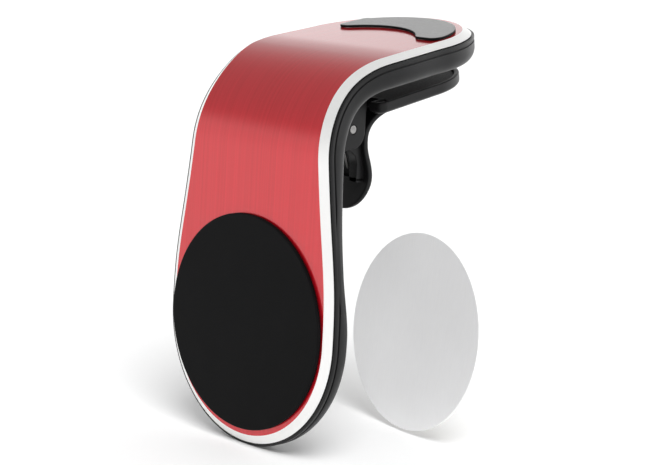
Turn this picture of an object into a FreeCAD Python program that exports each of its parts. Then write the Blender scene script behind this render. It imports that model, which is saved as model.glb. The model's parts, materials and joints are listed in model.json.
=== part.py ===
import FreeCAD, Part
import math
import os
from FreeCAD import Vector

# Magnetic phone mount for a car's air vent, in millimetres.
# The origin is the centre of the round pad's front face. -Y points at the phone, +Z is up along
# the face plate, and X runs across it. "s" is the distance up the outer surface of the bent face
# plate from the pad's centre, and "depth" is the distance below that surface.

# face plate: bend and outline
PAD_PROUD = 0.85            # front of the pad above the face plate
FACE_Y = PAD_PROUD
STRAIGHT = 31.45            # s where the bend starts
BEND_R = 18.85              # outer radius of the bend
BEND = math.radians(75.7)
EASE_R = 76.0               # shallower curve from the bend into the arm
EASE = math.radians(4.6)
BEND_END = STRAIGHT + BEND_R * BEND
EASE_END = BEND_END + EASE_R * EASE
BOTTOM_R = 21.9             # round lower end
BOTTOM_S = -0.8
TIP_R = 18.1                # round end of the arm
TIP_S = 71.5
SIDE = [(21.5, 9.0), (20.05, 19.0), (18.6, 29.0), (17.5, 39.0), (17.25, 49.0), (18.7, 59.0)]
PLATE_T = 1.0
BEVEL_WIDE = 1.6            # bare cut edge of the plate
BEVEL_DEEP = 0.93
TAPE_T = 0.15

# housing
EDGE_OVER = 0.55            # how far the black housing stands out past the plate
BEZEL_BACK = 1.8
GROOVE = 0.35               # between the ridge and the shell
GROOVE_DEEP = 0.25
SHELL_TOP = BEZEL_BACK + GROOVE
SHELL_WALL = 1.2
SHELL_PAD_T = 5.3           # housing thickness behind the pad, at the neck and at the arm
SHELL_NECK_T = 4.2
SHELL_ARM_T = 5.8
SHELL_ROUND = 2.0           # crowned edge: how far it runs in from the side, and up from the back
SHELL_ROUND_HIGH = 2.6
BOSS_R = 19.6               # round magnet housing on the back
BOSS_T = 5.55
BOSS_CHAMFER = 0.5
CAVITY_INSET = 1.0          # hollow inside the shell, in from the plate's outline
POCKET_D = 36.6             # round pocket behind the magnets
CARRIER_D = 36.0            # the bezel's round web that holds the magnets

# magnets, pads and plate
MAGNET_D = 9.6
MAGNET_T = 2.0
MAGNET_PCD = 25.0
MAGNETS = 6
MAGNET_GAP = 0.1            # added to the magnets' diameter in their holes
YOKE_D = 35.0
YOKE_T = 1.0
PAD_D = 40.0
PAD_TAPE_T = 0.10
ARM_PAD_T = 0.45
ARM_TAPE_T = 0.10
CRESCENT_OUTER = (0.9, 70.4, 15.3)      # centre x, centre s and radius
CRESCENT_BITE = (0.0, 62.9, 13.6)
CRESCENT_LEFT_X = -11.6
CRESCENT_LEFT_S = 73.0
CRESCENT_RIGHT_S = 71.0
CRESCENT_CORNER = 1.2
CRESCENT_END = 2.6          # softer corners towards the arm's edges
STRIP_HALF = 9.0            # rubber strip under the arm
STRIP_LOW_S = 65.0
STRIP_ROUND_S = 75.0
STRIP_SUNK = 0.4
STRIP_PROUD = 0.7
STRIP_GAP = 0.1
PHONE_PLATE_D = 38.0
PHONE_PLATE_T = 0.5
PHONE_TAPE_T = 0.15
PHONE_LINER_T = 0.10
PHONE_PLATE_AT = Vector(10.1, 35.1, -3.75)
PHONE_PLATE_TURN = -8.1     # degrees about Z
PHONE_PLATE_LEAN = 5.4      # degrees back from upright

# clip
PIN_Y = 18.6
PIN_Z = 35.55
PIN_R = 0.8
EAR_IN = 5.6
EAR_OUT = 7.1
EAR_R = 3.2
EAR_DROP = 0.6              # centre of the ear's round end below the pin
RUNNING = 0.05              # radial clearance of the pin in the lever
KNUCKLE_R = 2.5
KNUCKLE_IN = 3.4
KNUCKLE_OUT = 5.4
LEVER_WALL = 1.1
LEVER_HALF = 6.8            # half width of the thumb tab
NECK_HALF = 6.4
FLARE_WIDE = 5.6            # parabola that widens the neck into the jaw
FLARE_HIGH = 7.2
FLARE_Z = 33.5
TAB_END_Z = 19.5
# back line of the lever in the side view, (y, z), from below the tab's end up to the jaw's underside
LEVER_LINE = [(24.0, 18.0), (24.5, 23.0), (24.75, 26.7), (24.3, 29.2), (23.6, 31.8), (23.5, 34.6),
              (24.1, 37.6), (25.7, 39.4), (29.0, 40.74)]
# web between the pin's barrel and the wall, (y, z)
WEB = [(16.3, 34.6), (17.6, 32.8), (20.0, 31.2), (21.3, 30.2), (21.8, 28.8), (21.8, 25.4), (24.2, 25.4),
       (23.2, 31.5), (23.0, 34.6), (23.6, 37.6), (25.3, 39.9), (23.4, 40.4), (20.5, 37.4)]
RIDGE = (21.8, 25.2, 2.2, 0.9)          # low edge y, z, then depth and height
DIMPLE = (3.5, 22.2, 0.6, 0.3)          # x, z, radius and depth
SLOT = (5.3, 24.2, 1.6, 0.35)           # x, z, length and width
SLOT_TURN = 35.0
JAW_Y = 19.95               # foot of the jaw's rim line
JAW_Z = 40.96
JAW_TILT = math.radians(12.0)
JAW_ROOT = -0.3
JAW_CORNER = 1.6
JAW_NOTCH = 2.2             # far side of the notch for the ears, and its half width
NOTCH_HALF = 9.6
JAW_HALF = 12.8
JAW_LONG = 28.5
JAW_THICK = 2.1
JAW_RIM = 0.9
JAW_POCKET = 1.1
JAW_PAD_GAP = 0.15
JAW_PAD_SUNK = 0.4          # face of the rubber below the rim
JAW_UNDER_R = 0.8
SPRING_WIRE = 0.5
SPRING_R = 1.35
SPRING_TURNS = 6
SPRING_PITCH = 0.56
SPRING_FRONT_END = (6.5, 29.4)          # (y, z) of the leg that bears on the shell
SPRING_BACK_END = (23.2, 27.4)          # and of the one that bears on the tab
PIN_DIMPLE_R = 0.4
PIN_DIMPLE_DEEP = 0.3

CUT = 30.0                  # half width of blocks before they are trimmed to the outline


def smooth(value, low, high):
    """0 below low, 1 above high, eased between."""
    t = min(1.0, max(0.0, (value - low) / (high - low)))
    return t * t * (3.0 - 2.0 * t)


def shell_depth(s):
    """Thickness of the whole housing at s."""
    to_neck = (SHELL_NECK_T - SHELL_PAD_T) * smooth(s, 0.0, 12.0)
    to_arm = (SHELL_ARM_T - SHELL_NECK_T) * smooth(s, 13.0, 40.0)
    return SHELL_PAD_T + to_neck + to_arm


def on_panel(x, s, depth):
    """Point at s up the bent plate, below its outer surface."""
    if s <= STRAIGHT:
        return Vector(x, FACE_Y + depth, s)
    turn = min((s - STRAIGHT) / BEND_R, BEND)
    y = FACE_Y + BEND_R * (1 - math.cos(turn))
    z = STRAIGHT + BEND_R * math.sin(turn)
    if s > BEND_END:
        turn = BEND + min((s - BEND_END) / EASE_R, EASE)
        along = max(0.0, s - EASE_END)
        y += EASE_R * (math.cos(BEND) - math.cos(turn)) + along * math.sin(turn)
        z += EASE_R * (math.sin(turn) - math.sin(BEND)) + along * math.cos(turn)
    return Vector(x, y + depth * math.cos(turn), z - depth * math.sin(turn))


def curve_at(depth):
    """Edges of the bent profile at a constant depth, from below the plate to past the tip."""
    stops = [on_panel(-CUT, s, depth) for s in (-30.0, STRAIGHT, (STRAIGHT + BEND_END) / 2, BEND_END,
                                                (BEND_END + EASE_END) / 2, EASE_END, 96.0)]
    return [Part.makeLine(stops[0], stops[1]),
            Part.Arc(stops[1], stops[2], stops[3]).toShape(),
            Part.Arc(stops[3], stops[4], stops[5]).toShape(),
            Part.makeLine(stops[5], stops[6])]


def back_curve(inward):
    """Edge of the housing's back profile, moved inward by a wall."""
    line = Part.BSplineCurve()
    steps = [-30.0 + 3.5 * i for i in range(37)]
    line.interpolate([on_panel(-CUT, s, shell_depth(s) - inward) for s in steps])
    return [line.toShape()]


def block(front, back):
    """Solid between two profiles, full width."""
    start = Part.makeLine(back[0].Vertexes[0].Point, front[0].Vertexes[0].Point)
    end = Part.makeLine(front[-1].Vertexes[-1].Point, back[-1].Vertexes[-1].Point)
    edges = Part.__sortEdges__(front + back + [start, end])
    face = Part.Face(Part.Wire(edges))
    return face.extrude(Vector(2 * CUT, 0, 0))


def right_outline():
    """Edges of the right half of the flat outline, in (x, s), from the bottom to the tip."""
    bottom_centre = Vector(0, BOTTOM_S, 0)
    tip_centre = Vector(0, TIP_S, 0)
    side_start = bottom_centre + Vector(BOTTOM_R, 0, 0)
    side_end = tip_centre + Vector(TIP_R, 0, 0)
    half = math.sqrt(0.5)
    bottom = Part.Arc(bottom_centre + Vector(0, -BOTTOM_R, 0),
                      bottom_centre + Vector(BOTTOM_R * half, -BOTTOM_R * half, 0), side_start)
    tip = Part.Arc(side_end, tip_centre + Vector(TIP_R * half, TIP_R * half, 0),
                   tip_centre + Vector(0, TIP_R, 0))
    side = Part.BSplineCurve()
    side.interpolate(Points=[side_start] + [Vector(w, s, 0) for w, s in SIDE] + [side_end],
                     InitialTangent=Vector(0, 1, 0), FinalTangent=Vector(0, 1, 0))
    return [bottom.toShape(), side.toShape(), tip.toShape()]


OUTLINE = right_outline()


def rim_line(inset, depth):
    """Closed curve round the plate: inset from the outline, at a depth given as a function of s."""
    right = []
    for edge, steps in zip(OUTLINE, (6, 14, 6)):
        first, last = edge.ParameterRange
        for i in range(steps):
            t = first + (last - first) * i / steps
            tangent = edge.tangentAt(t)
            point = edge.valueAt(t) + Vector(-tangent.y, tangent.x, 0) * inset
            right.append(point)
    right[0].x = 0.0
    top = Vector(0, TIP_S + TIP_R - inset, 0)
    left = [Vector(-p.x, p.y, 0) for p in reversed(right[1:])]
    loop = [on_panel(p.x, p.y, depth(p.y)) for p in right + [top] + left]
    curve = Part.BSplineCurve()
    curve.interpolate(Points=loop, PeriodicFlag=True)
    return curve.toShape()


def fixed(depth):
    return lambda s: depth


ABOVE = fixed(-3.0)
BELOW = fixed(10.0)


def trim(solid, inset_a, depth_a, inset_b, depth_b, keep, reach=0.6):
    """Cut a solid with the wall through two rim lines, and keep the piece that holds a point."""
    def line(extra):
        inset = inset_a + (inset_a - inset_b) * extra
        return rim_line(inset, lambda s: depth_a(s) + (depth_a(s) - depth_b(s)) * extra)

    wall = Part.makeRuledSurface(line(reach), line(-1.0 - reach))
    pieces = solid.generalFuse([wall])[0].Solids
    for piece in pieces:
        if piece.isInside(keep, 1e-4, True):
            return piece
    raise ValueError("no piece holds the point")


def layer(top, base, inset):
    """Sheet between two constant depths, trimmed square to the outline."""
    sheet = block(curve_at(top), curve_at(base))
    keep = on_panel(0, 25.0, (top + base) / 2)
    return trim(sheet, inset, ABOVE, inset, BELOW, keep, 0.0)


def disc(diameter, y_front, y_back, x=0.0, z=0.0):
    """Round disc about an axis along Y."""
    return Part.makeCylinder(diameter / 2, y_back - y_front, Vector(x, y_front, z), Vector(0, 1, 0))


def rod_x(radius, x_from, x_to, y, z):
    return Part.makeCylinder(radius, x_to - x_from, Vector(x_from, y, z), Vector(1, 0, 0))


def along_arm(flat):
    """Move a solid drawn in (x, s, height) onto the arm's flat top."""
    matrix = FreeCAD.Matrix()
    foot = on_panel(0, TIP_S, 0)
    lean = BEND + EASE
    up = Vector(0, -math.cos(lean), math.sin(lean))
    run = Vector(0, math.sin(lean), math.cos(lean))
    matrix.A11, matrix.A21, matrix.A31 = 1, 0, 0
    matrix.A12, matrix.A22, matrix.A32 = run.x, run.y, run.z
    matrix.A13, matrix.A23, matrix.A33 = up.x, up.y, up.z
    shift = foot - run * TIP_S
    matrix.A14, matrix.A24, matrix.A34 = shift.x, shift.y, shift.z
    return transformed(flat, matrix)


def transformed(solid, matrix):
    moved = solid.copy()
    moved.transformShape(matrix)
    return moved


def make_face_plate():
    plate = layer(0.0, PLATE_T, 0.0)
    keep = on_panel(0, 25.0, PLATE_T / 2)
    return trim(plate, BEVEL_WIDE, fixed(0.0), 0.0, fixed(BEVEL_DEEP), keep)


def magnet_places():
    for i in range(MAGNETS):
        turn = 2 * math.pi * i / MAGNETS + math.pi / 2
        yield MAGNET_PCD / 2 * math.cos(turn), MAGNET_PCD / 2 * math.sin(turn)


def make_front_bezel():
    floor_top = PLATE_T + TAPE_T
    bezel = layer(floor_top, BEZEL_BACK, -EDGE_OVER)
    carrier = disc(CARRIER_D, FACE_Y + floor_top + 0.2, FACE_Y + floor_top + MAGNET_T - 0.1)
    bezel = bezel.fuse(carrier)
    for x, z in magnet_places():
        bezel = bezel.cut(disc(MAGNET_D + MAGNET_GAP, FACE_Y, FACE_Y + BOSS_T, x, z))
    return bezel.removeSplitter()


def make_back_shell():
    keep = on_panel(0, 25.0, SHELL_TOP + 0.5)
    shell = block(curve_at(SHELL_TOP), back_curve(0.0))
    shell = trim(shell, -EDGE_OVER, ABOVE, -EDGE_OVER, BELOW, keep, 0.0)
    share = 1 - math.sqrt(0.5)
    mid = SHELL_ROUND * share
    mid_high = SHELL_ROUND_HIGH * share
    shell = trim(shell, -EDGE_OVER, lambda s: shell_depth(s) - SHELL_ROUND_HIGH,
                 mid - EDGE_OVER, lambda s: shell_depth(s) - mid_high, keep)
    shell = trim(shell, mid - EDGE_OVER, lambda s: shell_depth(s) - mid_high,
                 SHELL_ROUND - EDGE_OVER, lambda s: shell_depth(s), keep)
    core = block(curve_at(SHELL_TOP - 1.0), back_curve(SHELL_WALL))
    core = trim(core, CAVITY_INSET, ABOVE, CAVITY_INSET, BELOW, keep, 0.0)
    boss_back = FACE_Y + BOSS_T
    boss = disc(2 * BOSS_R, FACE_Y + SHELL_TOP + 1.0, boss_back)
    back_rim = [e for e in boss.Edges if e.Curve.TypeId == "Part::GeomCircle"
                and abs(e.Vertexes[0].Point.y - boss_back) < 0.01]
    boss = boss.makeChamfer(BOSS_CHAMFER, back_rim)
    yoke_back = FACE_Y + PLATE_T + TAPE_T + MAGNET_T + YOKE_T
    pocket = disc(POCKET_D, FACE_Y + SHELL_TOP - 0.5, yoke_back)
    shell = shell.fuse(boss).cut(core).cut(pocket)
    upstand = layer(BEZEL_BACK, SHELL_TOP + 0.1, GROOVE_DEEP - EDGE_OVER)
    upstand = upstand.cut(layer(BEZEL_BACK - 1.0, SHELL_TOP + 1.0, CAVITY_INSET))
    shell = shell.fuse(upstand)
    for side in (-1, 1):
        shell = shell.fuse(make_ear(side))
    shell = shell.cut(rod_x(PIN_R, -EAR_OUT - 1.0, EAR_OUT + 1.0, PIN_Y, PIN_Z))
    shell = shell.cut(arm_strip(SHELL_ARM_T - STRIP_SUNK, SHELL_ARM_T + 1.0, 0.0))
    return shell.removeSplitter()


def make_ear(side):
    """Ear that carries one end of the pin, grown into the shell's wall."""
    wall = SHELL_WALL / 2
    in_wall = [on_panel(0, s, shell_depth(s) - wall) for s in (66.5, 62.0, 56.0, 50.0, 44.0, 38.0, 30.0)]
    round_z = PIN_Z - EAR_DROP
    bottom = Vector(0, PIN_Y, round_z - EAR_R)
    corner = Vector(0, PIN_Y + EAR_R, round_z)
    low = Vector(0, PIN_Y + EAR_R * math.sqrt(0.5), round_z - EAR_R * math.sqrt(0.5))
    edges = [Part.Arc(bottom, low, corner).toShape()]
    chain = [corner, Vector(0, corner.y, in_wall[0].z)] + in_wall[1:] + [bottom]
    for a, b in zip(chain, chain[1:]):
        edges.append(Part.makeLine(a, b))
    ear = Part.Face(Part.Wire(edges)).extrude(Vector(EAR_OUT - EAR_IN, 0, 0))
    ear.translate(Vector(EAR_IN if side > 0 else -EAR_OUT, 0, 0))
    return ear


def arm_strip(top, base, gap):
    """Rounded strip under the arm, between two depths."""
    half = STRIP_HALF + gap
    low = STRIP_LOW_S - gap
    round_s = STRIP_ROUND_S
    wire = Part.Wire([Part.makeLine(Vector(-half, low, 0), Vector(half, low, 0)),
                      Part.makeLine(Vector(half, low, 0), Vector(half, round_s, 0)),
                      Part.Arc(Vector(half, round_s, 0), Vector(0, round_s + half, 0),
                               Vector(-half, round_s, 0)).toShape(),
                      Part.makeLine(Vector(-half, round_s, 0), Vector(-half, low, 0))])
    strip = Part.Face(wire).extrude(Vector(0, 0, base - top))
    strip.translate(Vector(0, 0, -base))
    return along_arm(strip)


def crescent(low, high, gap):
    """Crescent on the arm's top: a round disc less a round bite, with blunt ends."""
    outer_x, outer_s, outer_r = CRESCENT_OUTER
    bite_x, bite_s, bite_r = CRESCENT_BITE
    under = low - 0.5
    outer = Part.makeCylinder(outer_r - gap, high - low, Vector(outer_x, outer_s, low))
    bite = Part.makeCylinder(bite_r + gap, 2.0, Vector(bite_x, bite_s, under))
    left_corner = Vector(CRESCENT_LEFT_X + gap, CRESCENT_LEFT_S + gap, under)
    left = Part.makeBox(-CRESCENT_LEFT_X - gap, outer_r + 5.0, 2.0, left_corner)
    right = Part.makeBox(outer_r + 5.0, outer_r + 5.0, 2.0, Vector(0, CRESCENT_RIGHT_S + gap, under))
    shape = outer.cut(bite).common(left.fuse(right)).removeSplitter()
    corners = [e for e in shape.Edges if abs(e.tangentAt(e.FirstParameter).z) > 0.9]
    far_right = max(corners, key=lambda e: e.Vertexes[0].Point.x)
    others = [e for e in corners if not e.isSame(far_right)]
    shape = shape.makeFillet(CRESCENT_CORNER, others)
    ends = [e for e in shape.Edges if abs(e.tangentAt(e.FirstParameter).z) > 0.9
            and (e.Vertexes[0].Point - far_right.Vertexes[0].Point).Length < high - low + 0.01
            and abs(e.Vertexes[0].Point.x - far_right.Vertexes[0].Point.x) < 0.01]
    return along_arm(shape.makeFillet(CRESCENT_END, ends))


def lever_profile():
    """Outer (back) line of the thumb tab and neck, running into the jaw's underside."""
    line = Part.BSplineCurve()
    along_jaw = Vector(0, math.cos(JAW_TILT), math.sin(JAW_TILT))
    line.interpolate(Points=[Vector(0, y, z) for y, z in LEVER_LINE], InitialTangent=Vector(0, 0.08, 1.0),
                     FinalTangent=along_jaw)
    return line


def jaw_block(inset, low, high):
    """Jaw-shaped block: root with a notch for the ears, round tip."""
    half = JAW_HALF - inset
    tip = JAW_LONG - inset
    root = JAW_ROOT + inset
    tall = high - low
    flat = Part.makeBox(2 * half, tip - half - root, tall, Vector(-half, root, low))
    notch_half = NOTCH_HALF + inset
    flat = flat.cut(Part.makeBox(2 * notch_half, JAW_NOTCH - JAW_ROOT, tall, Vector(-notch_half, root, low)))
    upright = [e for e in flat.Edges if abs(e.tangentAt(e.FirstParameter).z) > 0.9]
    outer = [e for e in upright if e.Vertexes[0].Point.y < root + 0.1 and abs(e.Vertexes[0].Point.x) > half - 0.1]
    flat = flat.makeFillet(JAW_CORNER - inset, outer)
    flat = flat.fuse(Part.makeCylinder(half, tall, Vector(0, tip - half, low))).removeSplitter()
    matrix = FreeCAD.Matrix()
    cos, sin = math.cos(JAW_TILT), math.sin(JAW_TILT)
    matrix.A22, matrix.A32 = cos, sin
    matrix.A23, matrix.A33 = -sin, cos
    matrix.A24, matrix.A34 = JAW_Y, JAW_Z
    return transformed(flat, matrix)


def make_clip_lever():
    line = lever_profile()
    outer = line.toShape()
    count = 24
    first, last = line.FirstParameter, line.LastParameter
    inner_points = []
    for i in range(count + 1):
        t = first + (last - first) * i / count
        tangent = outer.tangentAt(t)
        inner_points.append(line.value(t) + Vector(0, -tangent.z, tangent.y) * LEVER_WALL)
    inner = Part.BSplineCurve()
    inner.interpolate(inner_points)
    inner = inner.toShape()
    wire = Part.Wire(Part.__sortEdges__([outer, inner, Part.makeLine(line.value(first), inner_points[0]),
                                         Part.makeLine(line.value(last), inner_points[-1])]))
    wall = Part.Face(wire).extrude(Vector(2 * LEVER_HALF, 0, 0))
    wall.translate(Vector(-LEVER_HALF, 0, 0))
    plan = tab_plan()
    wall = wall.common(plan)
    jaw = jaw_block(0.0, -JAW_THICK, 0.0)
    bottom_edges = [e for e in jaw.Edges if all(is_on_jaw_bottom(v.Point) for v in e.Vertexes)]
    jaw = jaw.makeFillet(JAW_UNDER_R, bottom_edges)
    lever = wall.fuse(jaw)
    for side in (-1, 1):
        lever = lever.fuse(make_knuckle(side))
    ridge_y, ridge_z, ridge_deep, ridge_high = RIDGE
    ridge_corner = Vector(-KNUCKLE_OUT, ridge_y, ridge_z)
    lever = lever.fuse(Part.makeBox(2 * KNUCKLE_OUT, ridge_deep, ridge_high, ridge_corner))
    lever = lever.cut(jaw_block(JAW_RIM, -JAW_POCKET, JAW_THICK))
    lever = lever.cut(rod_x(PIN_R + RUNNING, -EAR_IN, EAR_IN, PIN_Y, PIN_Z))
    for mark in (make_dimple(inner), make_slot(inner)):
        lever = lever.cut(mark)
    return lever.removeSplitter()


def wall_y(inner, z):
    """Where the tab's inner face is at a height."""
    level = Part.makeLine(Vector(0, 0, z), Vector(0, 40, z))
    return inner.distToShape(level)[1][0][0].y


def make_dimple(inner):
    x, z, radius, deep = DIMPLE
    face_y = wall_y(inner, z)
    return Part.makeCylinder(radius, deep + 1.0, Vector(x, face_y - 1.0, z), Vector(0, 1, 0))


def make_slot(inner):
    x, z, long, wide = SLOT
    face_y = wall_y(inner, z)
    deep = DIMPLE[3]
    slot = Part.makeBox(wide, deep + 1.0, long, Vector(x - wide / 2, face_y - 1.0, z - long / 2))
    slot.rotate(Vector(x, 0, z), Vector(0, 1, 0), SLOT_TURN)
    return slot


def is_on_jaw_bottom(point):
    return abs(-(point.y - JAW_Y) * math.sin(JAW_TILT) + (point.z - JAW_Z) * math.cos(JAW_TILT)
               + JAW_THICK) < 1e-3


def tab_plan():
    """Outline of the tab, neck and flare seen along Y, as a deep block."""
    round_z = TAB_END_Z + LEVER_HALF
    neck_z = round_z + 6.0
    wide = NECK_HALF + FLARE_WIDE
    flare_top = FLARE_Z + FLARE_HIGH
    top = flare_top + 10.0
    edges = [Part.Arc(Vector(-LEVER_HALF, 0, round_z), Vector(0, 0, TAB_END_Z),
                      Vector(LEVER_HALF, 0, round_z)).toShape(),
             Part.makeLine(Vector(wide, 0, top), Vector(-wide, 0, top))]
    for side in (-1, 1):
        edges += [Part.makeLine(Vector(side * LEVER_HALF, 0, round_z), Vector(side * NECK_HALF, 0, neck_z)),
                  Part.makeLine(Vector(side * NECK_HALF, 0, neck_z), Vector(side * NECK_HALF, 0, FLARE_Z)),
                  flare_edge(side),
                  Part.makeLine(Vector(side * wide, 0, flare_top), Vector(side * wide, 0, top))]
    outline = Part.Face(Part.Wire(Part.__sortEdges__(edges)))
    return outline.extrude(Vector(0, 2 * CUT, 0))


def flare_edge(side):
    """Parabola from the neck's side out to the jaw's."""
    curve = Part.BezierCurve()
    curve.setPoles([Vector(side * NECK_HALF, 0, FLARE_Z), Vector(side * NECK_HALF, 0, FLARE_Z + FLARE_HIGH / 2),
                    Vector(side * (NECK_HALF + FLARE_WIDE), 0, FLARE_Z + FLARE_HIGH)])
    return curve.toShape()


def make_knuckle(side):
    """Barrel on the pin with the web that joins it to the lever's wall."""
    start = KNUCKLE_IN if side > 0 else -KNUCKLE_OUT
    wide = KNUCKLE_OUT - KNUCKLE_IN
    barrel = rod_x(KNUCKLE_R, start, start + wide, PIN_Y, PIN_Z)
    chain = [Vector(start, y, z) for y, z in WEB]
    web = Part.Face(Part.makePolygon(chain + [chain[0]])).extrude(Vector(wide, 0, 0))
    return barrel.fuse(web)


def make_lower_jaw_pad():
    return jaw_block(JAW_RIM + JAW_PAD_GAP, -JAW_POCKET, -JAW_PAD_SUNK)


def make_pivot_pin():
    pin = rod_x(PIN_R, -EAR_OUT, EAR_OUT, PIN_Y, PIN_Z)
    for side in (-1, 1):
        point = Vector(side * (EAR_OUT - PIN_DIMPLE_DEEP), PIN_Y, PIN_Z)
        dimple = Part.makeCone(0.0, PIN_DIMPLE_R, PIN_DIMPLE_DEEP, point, Vector(side, 0, 0))
        pin = pin.cut(dimple)
    return pin


def make_torsion_spring():
    height = SPRING_PITCH * SPRING_TURNS
    helix = Part.makeHelix(SPRING_PITCH, height, SPRING_R)
    ring = Part.Wire(Part.makeCircle(SPRING_WIRE / 2, Vector(SPRING_R, 0, 0), Vector(0, 1, 0)))
    coil = Part.Wire(helix.Edges).makePipeShell([ring], True, True)
    coil.rotate(Vector(0, 0, 0), Vector(0, 1, 0), 90)
    coil.translate(Vector(-height / 2, PIN_Y, PIN_Z))
    coil = coil.fuse(spring_leg(-height / 2, Vector(0, *SPRING_FRONT_END), 1))
    return coil.fuse(spring_leg(height / 2, Vector(0, *SPRING_BACK_END), -1))


def spring_leg(x, target, hand):
    """Straight leg that leaves the coil tangentially and ends at a target."""
    centre = Vector(0, PIN_Y, PIN_Z)
    reach = (target - centre).Length
    lean = hand * math.asin(SPRING_R / reach)
    toward = (target - centre).normalize()
    y = toward.y * math.cos(lean) - toward.z * math.sin(lean)
    z = toward.y * math.sin(lean) + toward.z * math.cos(lean)
    run = math.sqrt(reach ** 2 - SPRING_R ** 2)
    start = target - Vector(0, y, z) * run
    return Part.makeCylinder(SPRING_WIRE / 2, run, Vector(x, start.y, start.z), Vector(0, y, z))


def on_phone_plate(front, back, diameter):
    """Disc in the loose plate's own place, between two distances behind its front face."""
    piece = disc(diameter, front, back)
    piece.rotate(Vector(0, 0, 0), Vector(1, 0, 0), -PHONE_PLATE_LEAN)
    piece.rotate(Vector(0, 0, 0), Vector(0, 0, 1), PHONE_PLATE_TURN)
    piece.translate(PHONE_PLATE_AT)
    return piece


def soft_disc(diameter, y_front, y_back, edge):
    pad = disc(diameter, y_front, y_back)
    rim = [e for e in pad.Edges if e.Curve.TypeId == "Part::GeomCircle"
           and abs(e.Vertexes[0].Point.y - y_front) < 1e-6]
    return pad.makeFillet(edge, rim)


def all_pieces():
    floor_top = PLATE_T + TAPE_T
    yield "face_plate", make_face_plate()
    yield "plate_tape", layer(PLATE_T, floor_top, 1.2)
    yield "front_bezel", make_front_bezel()
    yield "back_shell", make_back_shell()
    magnet_front = FACE_Y + floor_top
    for number, (x, z) in enumerate(magnet_places(), start=1):
        yield f"magnet_{number}", disc(MAGNET_D, magnet_front, magnet_front + MAGNET_T, x, z)
    yoke_front = magnet_front + MAGNET_T
    yield "yoke_plate", disc(YOKE_D, yoke_front, yoke_front + YOKE_T)
    yield "front_pad_tape", disc(PAD_D - 1.0, FACE_Y - PAD_TAPE_T, FACE_Y)
    yield "front_pad", soft_disc(PAD_D, 0.0, FACE_Y - PAD_TAPE_T, 0.3)
    yield "arm_pad_tape", crescent(0.0, ARM_TAPE_T, 0.3)
    yield "arm_pad", crescent(ARM_TAPE_T, ARM_TAPE_T + ARM_PAD_T, 0.0)
    yield "upper_jaw_pad", arm_strip(SHELL_ARM_T - STRIP_SUNK, SHELL_ARM_T + STRIP_PROUD, -STRIP_GAP)
    yield "clip_lever", make_clip_lever()
    yield "lower_jaw_pad", make_lower_jaw_pad()
    yield "pivot_pin", make_pivot_pin()
    yield "torsion_spring", make_torsion_spring()
    yield "phone_plate", on_phone_plate(0.0, PHONE_PLATE_T, PHONE_PLATE_D)
    tape_back = PHONE_PLATE_T + PHONE_TAPE_T
    yield "phone_plate_tape", on_phone_plate(PHONE_PLATE_T, tape_back, PHONE_PLATE_D - 1.0)
    yield "phone_plate_liner", on_phone_plate(tape_back, tape_back + PHONE_LINER_T, PHONE_PLATE_D - 1.0)


os.makedirs("parts", exist_ok=True)
for name, shape in all_pieces():
    box = shape.BoundBox
    print(f"{name:18s} solids {len(shape.Solids)} valid {shape.isValid()} volume {shape.Volume:9.2f} "
          f"x {box.XMin:.2f}..{box.XMax:.2f} y {box.YMin:.2f}..{box.YMax:.2f} z {box.ZMin:.2f}..{box.ZMax:.2f}")
    shape.exportStep(f"parts/{name}.step")
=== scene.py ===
import json
import math
import bmesh
import bpy
import numpy as np
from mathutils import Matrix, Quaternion, Vector
from mathutils.geometry import tessellate_polygon


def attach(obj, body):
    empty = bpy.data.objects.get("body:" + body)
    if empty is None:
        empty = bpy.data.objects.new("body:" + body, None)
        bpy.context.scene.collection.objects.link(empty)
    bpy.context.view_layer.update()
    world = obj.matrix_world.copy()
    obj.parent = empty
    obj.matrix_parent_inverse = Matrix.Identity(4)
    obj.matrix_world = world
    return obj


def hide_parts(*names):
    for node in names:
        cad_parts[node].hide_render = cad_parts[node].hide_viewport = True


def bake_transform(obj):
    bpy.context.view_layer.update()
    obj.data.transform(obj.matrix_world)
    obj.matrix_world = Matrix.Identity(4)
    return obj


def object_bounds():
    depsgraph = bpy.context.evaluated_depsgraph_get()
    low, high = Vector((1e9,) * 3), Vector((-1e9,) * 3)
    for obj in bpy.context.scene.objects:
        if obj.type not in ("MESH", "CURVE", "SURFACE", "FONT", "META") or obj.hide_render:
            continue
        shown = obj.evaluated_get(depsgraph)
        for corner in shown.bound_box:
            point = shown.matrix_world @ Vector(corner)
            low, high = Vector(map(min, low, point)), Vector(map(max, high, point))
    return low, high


# Looks for the car phone mount. Lengths are in millimetres until a mesh is made: MM turns them into
# metres. "s" is the distance up the outer face of the bent plate from the pad's centre, "x" runs
# across it, and "depth" is the distance below it.

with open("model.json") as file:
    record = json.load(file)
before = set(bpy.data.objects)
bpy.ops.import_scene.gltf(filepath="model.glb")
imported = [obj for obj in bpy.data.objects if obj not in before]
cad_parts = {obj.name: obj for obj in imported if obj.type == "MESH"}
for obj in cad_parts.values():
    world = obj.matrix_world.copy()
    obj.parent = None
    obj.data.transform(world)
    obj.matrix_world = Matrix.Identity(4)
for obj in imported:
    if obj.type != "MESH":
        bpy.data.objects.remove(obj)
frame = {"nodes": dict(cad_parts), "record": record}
cad_low, cad_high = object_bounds()

MM = 0.001

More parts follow.
